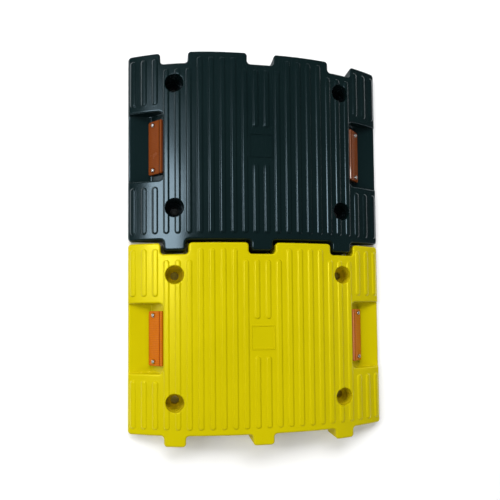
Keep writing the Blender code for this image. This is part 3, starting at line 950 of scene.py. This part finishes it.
@dataclass(frozen=True)
class Lens:
    """Reflector lens: a slab with rounded edges, a groove and a steep strip along its top."""

    reflector: Reflector
    corner: float = 2.6 * MM
    edge: float = 0.8 * MM
    back_round: float = 0.25 * MM
    groove_up: float = 8.2 * MM
    groove_width: float = 2.8 * MM
    groove_depth: float = 0.9 * MM
    strip_start: float = 12.45 * MM
    strip_drop: float = 2.5 * MM
    screw_recess: float = 3.6 * MM
    recess_depth: float = 0.35 * MM
    recess_flank: float = 0.5 * MM

    def outline(self, inset: float = 0.0) -> Array:
        """Rounded rectangle, moved inwards by an inset."""
        up, along = self.reflector.width / 2 - inset, self.reflector.length / 2 - inset
        corners = np.array([(-up, -along), (up, -along), (up, along), (-up, along)])
        return rounded(corners, max(self.corner - inset, 0.2 * MM), 0.0, 8)

    def face(self, points: Array) -> Array:
        """Places on the face: a slab less the rounded edge, groove and recesses.

        The groove is one cosine wave across its width. Each recess is flat with an eased flank.
        The strip falls evenly to the upper edge, and the lower of it and the rest holds.
        """
        up = points[:, 0]
        wave = np.clip(np.abs(up - self.groove_up) / (self.groove_width / 2), 0.0, 1.0)
        groove = self.groove_depth * (1 + np.cos(math.pi * wave)) / 2
        reach = self.reflector.width / 2 - self.strip_start
        strip = self.top - self.strip_drop * ramp((up - self.strip_start) / reach)
        recess = self.recess_depth * ease((self.screw_recess - self.screw_distance(points))
                                          / self.recess_flank)
        off = self.top - quarter(edge_distance(points, self.outline()), self.edge)
        return np.column_stack([points, np.minimum(off - groove - recess, strip)])

    def back(self, points: Array) -> Array:
        """Places on the flat back, with a slight rounding at its edge."""
        rise = quarter(edge_distance(points, self.outline()), self.back_round)
        return np.column_stack([points, self.top - self.reflector.lens + rise])

    @property
    def top(self) -> float:
        """Height of the face above the seat."""
        return self.reflector.depth

    def screw_distance(self, points: Array) -> Array:
        """Distance of each point from the nearest screw's axis."""
        return np.linalg.norm(points[:, None] - self.reflector.screws, axis=2).min(axis=1)

    def solid(self) -> tuple[Array, Array]:
        """Points and triangles of the lens in its seat's axes."""
        rim = divided(self.outline(), 2 * MM)
        front = Plan(rim, self.reflector.screws, self.reflector.screw_hole)
        for inset in quarter_places(self.edge, 5)[1:]:
            front.add(divided(self.outline(inset), 2 * MM))
        recesses = self.screw_recess - self.recess_flank * np.linspace(0, 1, 5)
        for up, along in self.reflector.screws:
            for radius in recesses:
                front.add(circle(up, along, radius, 40))
        reach = self.reflector.length / 2 - self.edge - 0.1 * MM
        along = np.linspace(-reach, reach, 36)
        for share in np.linspace(-1, 1, 9):
            up = np.full_like(along, self.groove_up + share * self.groove_width / 2)
            front.add(np.stack([up, along], axis=1), closed=False)
        for up in (self.strip_start - 0.12 * MM, self.strip_start, self.strip_start + 0.12 * MM):
            front.add(np.stack([np.full_like(along, up), along], axis=1), closed=False)
        front.scatter(self.loose_points())
        rear = Plan(rim, self.reflector.screws, self.reflector.screw_hole)
        rear.add(divided(self.outline(0.1 * MM), 2 * MM))
        rear.add(divided(self.outline(self.back_round), 2 * MM))
        return closed_solid(front, rear, self.face, self.back)

    def loose_points(self) -> Array:
        """Even points over the face, clear of its lines."""
        up = np.linspace(-self.reflector.width / 2, self.reflector.width / 2, 17)
        along = np.linspace(-self.reflector.length / 2, self.reflector.length / 2, 45)
        grid = np.stack(np.meshgrid(up, along, indexing="ij"), axis=-1).reshape(-1, 2)
        keep = inside(grid, self.outline(self.edge + 0.3 * MM))
        keep &= self.screw_distance(grid) > self.screw_recess + 0.3 * MM
        keep &= np.abs(grid[:, 0] - self.groove_up) > self.groove_width / 2 + 0.3 * MM
        keep &= grid[:, 0] < self.strip_start - 0.4 * MM
        return grid[keep]


@dataclass(frozen=True)
class Screw:
    """Pan-head screw with a cross recess, its axis square to the seat."""

    reflector: Reflector
    head: float = 2.8 * MM
    head_height: float = 1.8 * MM
    crown_round: float = 1.3 * MM
    crown_fall: float = 0.25 * MM
    shank: float = 1.4 * MM
    shank_flank: float = 0.06 * MM
    length: float = 10 * MM
    tip: float = 1.6 * MM
    arm_half: float = 0.32 * MM
    arm_reach: float = 1.45 * MM
    arm_depth: float = 1.0 * MM
    arm_flank: float = 0.16 * MM
    arm_rise: float = 0.45

    def top(self, points: Array) -> Array:
        """Places on the head: a rounded crown with a cross sunk in it.

        The crown falls by the square of the radius and is rounded at its edge. The cross is where
        the smaller of |x| and |y| is within an arm's half width and the larger within its reach.
        """
        radius = np.linalg.norm(points, axis=1)
        crown = self.head_height - quarter(self.head - radius, self.crown_round)
        crown = crown - self.crown_fall * (radius / self.head) ** 2
        small = np.abs(points).min(axis=1)
        large = np.abs(points).max(axis=1)
        within = np.minimum(self.arm_half - small, self.arm_reach - large)
        cross = self.arm_depth * ease(1 + within / self.arm_flank)
        cross = cross * (1.0 - self.arm_rise * ramp(large / self.arm_reach))
        return np.column_stack([points, crown - cross])

    def bottom(self, points: Array) -> Array:
        """Places below: flat under the head, then the shank with its tapered tip."""
        radius = np.linalg.norm(points, axis=1)
        run = self.shank / 2 - self.shank_flank
        tip = self.length - self.tip * ramp((radius - self.shank / 2) / run)
        off = -tip * ramp((self.shank - radius) / self.shank_flank)
        return np.column_stack([points, off])

    def solid(self) -> tuple[Array, Array]:
        """Points and triangles of the screw about the origin, its head's underside at 0."""
        none = np.zeros((0, 2))
        rim = circle(0, 0, self.head, 40)
        upper = Plan(rim, none, 0.0)
        for inset in quarter_places(self.crown_round, 6)[1:]:
            upper.add(circle(0, 0, self.head - inset, 40))
        for extra in np.linspace(0, 1, 4) * self.arm_flank:
            upper.add(self.cross(extra))
        lower = Plan(rim, none, 0.0)
        for radius in (self.shank, self.shank - self.shank_flank, self.shank / 2):
            lower.add(circle(0, 0, radius, 24))
        return closed_solid(upper, lower, self.top, self.bottom)

    def cross(self, extra: float) -> Array:
        """Outline of the cross, moved outwards by an extra."""
        near, far = self.arm_half + extra, self.arm_reach + extra
        arm = np.array([(far, -near), (far, near), (near, near)])
        turn = np.array([[0.0, 1.0], [-1.0, 0.0]])
        quarters = [arm, arm @ turn, arm @ turn @ turn, arm @ turn @ turn @ turn]
        return divided(np.concatenate(quarters), 0.35 * MM)

    def placed(self, place: Array) -> tuple[Array, Array]:
        """The screw at its place in the seat's axes, its head clear of the lens by the gap."""
        points, faces = self.solid()
        under_head = self.reflector.depth + self.reflector.gap
        return points + np.array([place[0], place[1], under_head]), faces


# ------------------------------------------------------------------ shader nodes

class Value:
    """A number that varies over a surface: arithmetic on it adds Math nodes."""

    def __init__(self, nodes: "Nodes", socket: bpy.types.NodeSocket) -> None:
        """Wrap an output socket of a material that is being built."""
        self.nodes = nodes
        self.socket = socket

    def math(self, operation: str, other: Any) -> "Value":
        """Math node with this value first."""
        return self.nodes.add("ShaderNodeMath", {0: self, 1: other}, operation=operation)

    def __add__(self, other: Any) -> "Value":
        """This plus another."""
        return self.math("ADD", other)

    __radd__ = __add__

    def __mul__(self, other: Any) -> "Value":
        """This times another."""
        return self.math("MULTIPLY", other)

    __rmul__ = __mul__

    def __sub__(self, other: Any) -> "Value":
        """This less another."""
        return self.math("SUBTRACT", other)

    def __rsub__(self, other: Any) -> "Value":
        """Another less this."""
        return self.nodes.add("ShaderNodeMath", {0: other, 1: self}, operation="SUBTRACT")

    def __truediv__(self, other: Any) -> "Value":
        """This divided by another."""
        return self.math("DIVIDE", other)

    def between(self, low: float, high: float) -> "Value":
        """0 below low and 1 above high, with an eased step from one to the other."""
        inputs = {"Value": self, "From Min": low, "From Max": high}
        return self.nodes.add("ShaderNodeMapRange", inputs, interpolation_type="SMOOTHSTEP")


class Nodes:
    """A material while its nodes are made."""

    def __init__(self, name: str) -> None:
        """New material with a lone Principled shader."""
        self.material = bpy.data.materials.new(name)
        self.material.use_nodes = True
        self.tree = self.material.node_tree
        self.shader = self.tree.nodes["Principled BSDF"]

    def add(self, kind: str, inputs: dict[int | str, Any] | None = None, output: int | str = 0,
            **settings: Any) -> Value:
        """Make a node.

        Args:
            kind: Node type.
            inputs: Values or links, by socket name or number.
            output: Socket that the result stands for.
            **settings: Properties of the node, set before its inputs.

        Returns:
            The chosen output.
        """
        node = self.tree.nodes.new(kind)
        for key, setting in settings.items():
            setattr(node, key, setting)
        for key, source in (inputs or {}).items():
            self.feed(node.inputs[key], source)
        return Value(self, node.outputs[output])

    def feed(self, socket: bpy.types.NodeSocket, source: Any) -> None:
        """Link a value to a socket, or set the socket."""
        if isinstance(source, Value):
            self.tree.links.new(source.socket, socket)
        else:
            socket.default_value = source

    def finish(self, **inputs: Any) -> bpy.types.Material:
        """Feed the Principled shader, with underscores for spaces in socket names."""
        for key, source in inputs.items():
            self.feed(self.shader.inputs[key.replace("_", " ")], source)
        return self.material

    def place(self) -> Value:
        """Object coordinates, in metres."""
        return self.add("ShaderNodeTexCoord", output="Object")

    def stretched_place(self, scale: tuple[float, float, float]) -> Value:
        """Object coordinates scaled along each axis."""
        return self.add("ShaderNodeMapping", {"Vector": self.place(), "Scale": scale})

    def noise(self, scale: float, detail: float = 3.0, vector: Value | None = None,
              rough: float = 0.5) -> Value:
        """Noise between about 0.2 and 0.8."""
        inputs = {"Vector": vector or self.place(), "Scale": scale, "Detail": detail,
                  "Roughness": rough}
        return self.add("ShaderNodeTexNoise", inputs)

    def blend(self, share: Value, first: Any, second: Any) -> Value:
        """Colour mixed from two."""
        return self.add("ShaderNodeMix", {0: share, 6: first, 7: second}, output=2,
                        data_type="RGBA")

    def attribute(self, name: str, output: str = "Fac") -> Value:
        """The mesh's own attribute of that name."""
        return self.add("ShaderNodeAttribute", output=output, attribute_name=name)

    def bump(self, height: Value, distance: float, strength: float = 1.0,
             under: Value | None = None) -> Value:
        """Normal of a relief, over another one if given."""
        inputs = {"Height": height, "Distance": distance, "Strength": strength}
        if under is not None:
            inputs["Normal"] = under
        return self.add("ShaderNodeBump", inputs)


Colour = tuple[float, float, float]


def opaque(colour: Colour) -> tuple[float, float, float, float]:
    """Colour with full alpha."""
    return (*colour, 1.0)


@dataclass(frozen=True)
class TreadPlastic:
    """Glossy moulded plastic: orange peel, faint mottling, scuffed ribs, and dust with painted shade
    in corners and recesses.
    """

    name: str
    slot: str
    colour: Colour
    deep: Colour
    scuff: Colour
    dust_and_shade_colour: Colour
    gloss_tint: Colour
    roughness: float
    scuffing: float
    dust_and_shade_amount: float

    def material(self) -> bpy.types.Material:
        """Build the finish; it reads the mesh's "crown", "corner" and "side"."""
        nodes = Nodes(self.name)
        cloudy = nodes.noise(14.0, 4.0)
        fine = nodes.noise(160.0, 3.0)
        peel = nodes.noise(420.0, 2.0)
        grain = nodes.noise(2200.0, 2.0)
        along_traffic = nodes.stretched_place((60.0, 900.0, 400.0))
        scratches = nodes.noise(1.0, 4.0, along_traffic, 0.7).between(0.60, 0.72)
        patches = nodes.noise(35.0, 3.0).between(0.42, 0.66)
        worn = scratches * patches * nodes.attribute("crown") * self.scuffing
        # Dust and painted shade: a colour darker on black and tan on yellow, in bores, pocket feet
        # and underside.
        dust_and_shade = nodes.attribute("corner") * fine.between(0.25, 0.75) * self.dust_and_shade_amount
        colour = nodes.blend(cloudy.between(0.3, 0.7), opaque(self.deep), opaque(self.colour))
        colour = nodes.blend(worn, colour, opaque(self.scuff))
        colour = nodes.blend(dust_and_shade, colour, opaque(self.dust_and_shade_colour))
        roughness = (self.roughness - 0.03) + fine * 0.06 + worn * 0.2 + dust_and_shade * 0.3
        roughness = roughness + nodes.attribute("side") * 0.4
        relief = nodes.bump(peel, 0.00004, 0.25)
        relief = nodes.bump(grain - scratches * 0.4, 0.00001, 0.2, relief)
        return nodes.finish(Base_Color=colour, Roughness=roughness, Normal=relief,
                            Specular_IOR_Level=0.5, IOR=1.5,
                            Specular_Tint=opaque(self.gloss_tint))


@dataclass(frozen=True)
class AmberLens:
    """Clear-coated amber plastic over rows of square prisms, read from the seat's own axes."""

    name: str
    bright: Colour
    dark: Colour
    groove: Colour
    slot: str = "amber_lens"
    cell: float = 2.4 * MM
    gloss_tint: Colour = (1.0, 0.42, 0.06)

    def material(self) -> bpy.types.Material:
        """Build the finish; it reads the mesh's "seat", "groove" and "strip"."""
        nodes = Nodes(self.name)
        seat = nodes.attribute("seat", "Vector")
        cells = {"Vector": seat, "Scale": 1.0 / self.cell, "Randomness": 0.0}
        prism = nodes.add("ShaderNodeTexVoronoi", cells, "Distance", distance="CHEBYCHEV",
                          voronoi_dimensions="2D")
        half_cell = 0.5
        facet = prism / half_cell
        tone = nodes.noise(240.0, 2.0)
        share = facet.between(0.15, 1.0) * 0.7 + tone * 0.35
        colour = nodes.blend(share, opaque(self.bright), opaque(self.dark))
        # Painted shade: the groove colour darkens the lens in its groove, and by 0.45 on the steep
        # strip.
        strip = nodes.attribute("strip")
        sunk = nodes.attribute("groove") + strip * 0.45
        colour = nodes.blend(sunk, colour, opaque(self.groove))
        relief = nodes.bump(1 - facet, 0.0009, 0.30)
        smear = nodes.noise(30.0, 3.0).between(0.45, 0.75)
        polish = strip * 0.97 + 0.03
        return nodes.finish(Base_Color=colour, Roughness=0.16 + smear * 0.12, Normal=relief,
                            Coat_Weight=polish, Coat_Roughness=0.05, Coat_IOR=1.8,
                            Specular_IOR_Level=0.25, Specular_Tint=opaque(self.gloss_tint))


@dataclass(frozen=True)
class ScrewSteel:
    """Bright pan-head steel with fine turning marks and a few dull spots."""

    name: str = "bright_screw_steel"
    slot: str = "screw_steel"
    colour: Colour = (0.80, 0.80, 0.79)
    dull: Colour = (0.46, 0.45, 0.43)

    def material(self) -> bpy.types.Material:
        """Build the finish."""
        nodes = Nodes(self.name)
        spots = nodes.noise(700.0, 3.0).between(0.52, 0.72)
        marks = nodes.noise(2600.0, 2.0)
        colour = nodes.blend(spots * 0.6, opaque(self.colour), opaque(self.dull))
        return nodes.finish(Base_Color=colour, Metallic=1.0, Roughness=0.24 + spots * 0.2,
                            Normal=nodes.bump(marks, 0.00001, 0.4))


@dataclass(frozen=True)
class BackPlatePlastic:
    """Dull brown-black backing of the reflectors."""

    name: str = "dull_back_plate_plastic"
    colour: Colour = (0.050, 0.026, 0.012)
    pale: Colour = (0.085, 0.050, 0.026)

    def material(self) -> bpy.types.Material:
        """Build the finish."""
        nodes = Nodes(self.name)
        cloudy = nodes.noise(90.0, 4.0)
        grain = nodes.noise(1500.0, 3.0)
        colour = nodes.blend(cloudy.between(0.3, 0.7), opaque(self.colour), opaque(self.pale))
        return nodes.finish(Base_Color=colour, Roughness=0.48 + cloudy * 0.18,
                            Normal=nodes.bump(grain, 0.00002, 0.5))


@dataclass(frozen=True)
class PaleFloor:
    """Plain pale floor with a faint variation."""

    name: str = "pale_floor"
    colour: Colour = (0.97, 0.97, 0.97)
    shade: Colour = (0.95, 0.95, 0.95)

    def material(self) -> bpy.types.Material:
        """Build the finish."""
        nodes = Nodes(self.name)
        colour = nodes.blend(nodes.noise(3.0), opaque(self.colour), opaque(self.shade))
        return nodes.finish(Base_Color=colour, Roughness=0.85, Specular_IOR_Level=0.1)


# ------------------------------------------------------------------ one module

@dataclass
class RampModule:
    """One module with its two reflectors, in the colour and at the place of its CAD nodes."""

    colour_name: str
    finish: TreadPlastic
    lens_finish: AmberLens
    screw_finish: ScrewSteel
    materials: dict[str, bpy.types.Material]
    moulding: Moulding = field(default_factory=Moulding)

    @property
    def body(self) -> str:
        """Body that every piece of the module rides on."""
        return f"{self.colour_name}_ramp"

    @property
    def node(self) -> str:
        """CAD node of the moulding."""
        return f"{self.colour_name}_module"

    @property
    def start(self) -> float:
        """World Y of the edge that the tongues stand out of."""
        return float(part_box(self.node)[0][1]) + self.moulding.tongue_length

    def build(self) -> None:
        """Make every piece of the module."""
        self.make_moulding()
        for side in Side:
            self.make_reflector(side)

    def declare(self, piece: bpy.types.Object, node: str) -> None:
        """Let a piece ride on the module's body and stand for a CAD node."""
        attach(piece, self.body)
        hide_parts(node)
        LOG.info("%s: %d triangles for %s", piece.name, len(piece.data.polygons), node)

    def make_moulding(self) -> None:
        """Make the ribbed moulding and the attributes that its finish reads."""
        points, faces = self.moulding.solid()
        name = f"{self.colour_name}_moulding"
        placed = points + np.array([0.0, self.start, 0.0])
        piece = to_object(name, placed, faces, self.materials[self.finish.name])
        self.add_number(piece, "crown", self.crown(points))
        self.add_number(piece, "corner", self.corner(points))
        self.add_number(piece, "side", self.side(points))
        self.declare(piece, self.node)

    @staticmethod
    def add_number(piece: bpy.types.Object, name: str, values: Array) -> None:
        """Store one number for each point of a piece."""
        attribute = piece.data.attributes.new(name, "FLOAT", "POINT")
        attribute.data.foreach_set("value", values.astype(np.float32))

    def crown(self, points: Array) -> Array:
        """1 on the crowns of ribs and frame, falling to 0.15 on the arch between them."""
        rise = points[:, 2] - self.moulding.arch(points[:, 0])
        return 0.15 + 0.85 * ease(rise / self.moulding.rib_height)

    def side(self, points: Array) -> Array:
        """1 on the steep outer walls, which the mould leaves duller, and 0 on the tread."""
        inward = edge_distance(points[:, :2], self.moulding.outline())
        return 1 - ease(inward / (0.5 * self.moulding.edge_round))

    def corner(self, points: Array) -> Array:
        """1 where dust and painted shade go: pocket feet, counterbores and the underside."""
        plan = points[:, :2]
        bore = ease((self.moulding.bore + 0.5 * MM - self.moulding.hole_distance(plan)) / MM)
        foot = np.abs(self.moulding.pocket_distance(plan) + self.moulding.pocket_draft) / (4 * MM)
        floor = points[:, 2] < self.moulding.pocket_floor + 4 * MM
        inner = self.moulding.arch(points[:, 0]) - self.moulding.shell + 0.1 * MM
        sunk = (self.moulding.pocket_distance(plan) < 0) & (points[:, 2] > 7 * MM)
        below = (points[:, 2] < inner) & ~sunk
        pocket = 0.3 * (1 - ease(foot)) * floor
        return np.clip(np.maximum(np.maximum(bore, pocket), 0.6 * below), 0.0, 1.0)

    def make_reflector(self, side: Side) -> None:
        """Make one reflector's lens and screws, and dress its back plate."""
        stem = f"{self.colour_name}_{side.name.lower()}"
        seat = Seat(self.moulding, self.start, side)
        lens = Lens(self.moulding.reflector)
        points, faces = lens.solid()
        piece = to_object(f"{stem}_amber_lens", seat.place(points), faces,
                          self.materials[self.lens_finish.name], 30.0)
        own = piece.data.attributes.new("seat", "FLOAT_VECTOR", "POINT")
        own.data.foreach_set("vector", points.astype(np.float32).ravel())
        # The groove number marks where the lens colour is painted darker as shade in its groove.
        away = np.abs(points[:, 0] - lens.groove_up) / (lens.groove_width * 0.6)
        face = points[:, 2] > lens.top - lens.edge - lens.groove_depth
        self.add_number(piece, "groove", (1 - ease(away)) * face)
        self.add_number(piece, "strip", ease((points[:, 0] - lens.strip_start) / (0.1 * MM)))
        self.declare(piece, f"{stem}_lens")
        for number, place in enumerate(self.moulding.reflector.screws, start=1):
            self.make_screw(f"{stem}_screw_{number}", seat, place)
        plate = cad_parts[f"{stem}_back_plate"]
        plate.data.materials.clear()
        plate.data.materials.append(self.materials[BackPlatePlastic.name])

    def make_screw(self, node: str, seat: Seat, place: Array) -> None:
        """Make one screw on its seat."""
        points, faces = Screw(self.moulding.reflector).placed(place)
        piece = to_object(f"{node}_cross_head", seat.place(points), faces,
                          self.materials[self.screw_finish.name], 30.0)
        self.declare(piece, node)


# ------------------------------------------------------------------ studio

@dataclass(frozen=True)
class SoftBox:
    """Rectangular light with even glow."""

    name: str
    place: tuple[float, float, float]
    aim: tuple[float, float, float]
    width: float
    height: float
    glow: float
    mirrored: bool = True
    spread: bool = True

    def build(self) -> None:
        """Add the light; its power is glow x pi x area.

        A light that isn't mirrored leaves no highlights, and one that isn't spread only those.
        """
        data = bpy.data.lights.new(self.name, "AREA")
        data.shape = "RECTANGLE"
        data.size, data.size_y = self.width, self.height
        data.energy = self.glow * math.pi * self.width * self.height
        light = bpy.data.objects.new(self.name, data)
        light.visible_glossy = self.mirrored
        light.visible_diffuse = self.spread
        bpy.context.scene.collection.objects.link(light)
        direction = Vector(self.aim) - Vector(self.place)
        light.matrix_world = (Matrix.Translation(self.place)
                              @ direction.to_track_quat("-Z", "Y").to_matrix().to_4x4())


@dataclass(frozen=True)
class Studio:
    """Pale floor, soft lights and the camera."""

    eye: tuple[float, float, float] = (-0.1191, -0.0825, 0.7076)
    roll: float = 0.0024
    lean: float = 0.1709
    nod: float = -0.0441
    focal_length: float = 36.83
    sensor_width: float = 36.0
    shift: tuple[float, float] = (-0.0178, 0.0733)
    floor_half: float = 4.0
    floor_drop: float = 0.2 * MM
    world_glow: float = 0.05
    lights: tuple[SoftBox, ...] = (
        SoftBox("key_window", (-1.12, 0.31, 1.30), (-0.1, 0.0, 0.0), 0.60, 0.66, 9.5,
                spread=False),
        SoftBox("wide_window", (-1.15, 0.26, 1.32), (-0.1, 0.0, 0.0), 1.25, 0.92, 1.3,
                spread=False),
        SoftBox("left_softbox", (-1.4, 0.45, 1.4), (0.0, 0.0, 0.0), 1.8, 1.0, 5.0,
                mirrored=False),
        SoftBox("back_softbox", (0.0, 1.35, 1.7), (0.0, 0.0, 0.0), 1.8, 1.0, 7.0,
                mirrored=False),
        SoftBox("front_softbox", (-0.2, -1.35, 1.7), (0.0, 0.0, 0.0), 1.8, 1.0, 2.4,
                mirrored=False),
        SoftBox("right_softbox", (1.8, -0.2, 1.2), (0.0, 0.0, 0.0), 1.8, 1.0, 1.2,
                mirrored=False),
    )

    def build(self) -> None:
        """Make the whole studio."""
        self.make_floor()
        self.make_world()
        for light in self.lights:
            light.build()
        self.make_camera()
        bpy.context.scene.view_settings.view_transform = "Standard"

    def make_floor(self) -> None:
        """Flat floor just under the feet of the modules."""
        half, z = self.floor_half, -self.floor_drop
        corners = np.array([(-half, -half, z), (half, -half, z), (half, half, z), (-half, half, z)])
        floor = to_object("studio_floor", corners, np.array([[0, 1, 2, 3]]),
                          PaleFloor().material())

    def make_world(self) -> None:
        """Dim, even surroundings."""
        world = bpy.data.worlds.new("dim_room")
        world.use_nodes = True
        background = world.node_tree.nodes["Background"]
        background.inputs["Color"].default_value = (1.0, 1.0, 1.0, 1.0)
        background.inputs["Strength"].default_value = self.world_glow
        bpy.context.scene.world = world

    def make_camera(self) -> None:
        """Camera that looks down on the pair from above the left-hand side."""
        data = bpy.data.cameras.new("camera")
        data.lens = self.focal_length
        data.sensor_width = self.sensor_width
        data.shift_x, data.shift_y = self.shift
        camera = bpy.data.objects.new("camera", data)
        bpy.context.scene.collection.objects.link(camera)
        turn = (Matrix.Rotation(self.roll, 3, "Z") @ Matrix.Rotation(self.lean, 3, "Y")
                @ Matrix.Rotation(self.nod, 3, "X")).transposed()
        camera.matrix_world = Matrix.Translation(self.eye) @ turn.to_4x4()
        bpy.context.scene.camera = camera


# ------------------------------------------------------------------ everything

# Each dust colour stands for dust and painted shade in recesses: darker on black, tan on yellow.
BLACK = TreadPlastic(
    name="black_tread_plastic", slot="black_plastic", colour=(0.0038, 0.0104, 0.0110),
    deep=(0.0029, 0.0086, 0.0092), scuff=(0.026, 0.035, 0.039), dust_and_shade_colour=(0.001, 0.002, 0.002),
    gloss_tint=(0.62, 0.84, 1.0), roughness=0.17, scuffing=0.20, dust_and_shade_amount=0.9)
YELLOW = TreadPlastic(
    name="yellow_tread_plastic", slot="yellow_plastic", colour=(0.52, 0.44, 0.0014),
    deep=(0.49, 0.415, 0.0010), scuff=(0.58, 0.51, 0.02), dust_and_shade_colour=(0.80, 0.58, 0.010),
    gloss_tint=(1.0, 0.90, 0.12), roughness=0.22, scuffing=0.15, dust_and_shade_amount=0.6)
# One amber lens in two copies: painted darker as shade over black, painted lighter as light over
# yellow.
SHADED_AMBER_ON_BLACK = AmberLens(
    name="amber_lens_over_black", bright=(0.21, 0.046, 0.002), dark=(0.12, 0.021, 0.001),
    groove=(0.030, 0.003, 0.001))
LIT_AMBER_ON_YELLOW = AmberLens(
    name="amber_lens_painted_lit_over_yellow", bright=(0.58, 0.155, 0.002), dark=(0.43, 0.092, 0.001),
    groove=(0.20, 0.024, 0.001))


def main() -> None:
    """Build the studio and both modules."""
    logging.basicConfig(level=logging.INFO, format="%(name)s: %(message)s")
    Studio().build()
    screw = ScrewSteel()
    finishes = (BLACK, YELLOW, SHADED_AMBER_ON_BLACK, LIT_AMBER_ON_YELLOW, screw, BackPlatePlastic())
    materials = {finish.name: finish.material() for finish in finishes}
    modules = (("black", BLACK, SHADED_AMBER_ON_BLACK), ("yellow", YELLOW, LIT_AMBER_ON_YELLOW))
    for colour_name, finish, lens in modules:
        RampModule(colour_name, finish, lens, screw, materials).build()


if __name__ == "__main__":
    main()
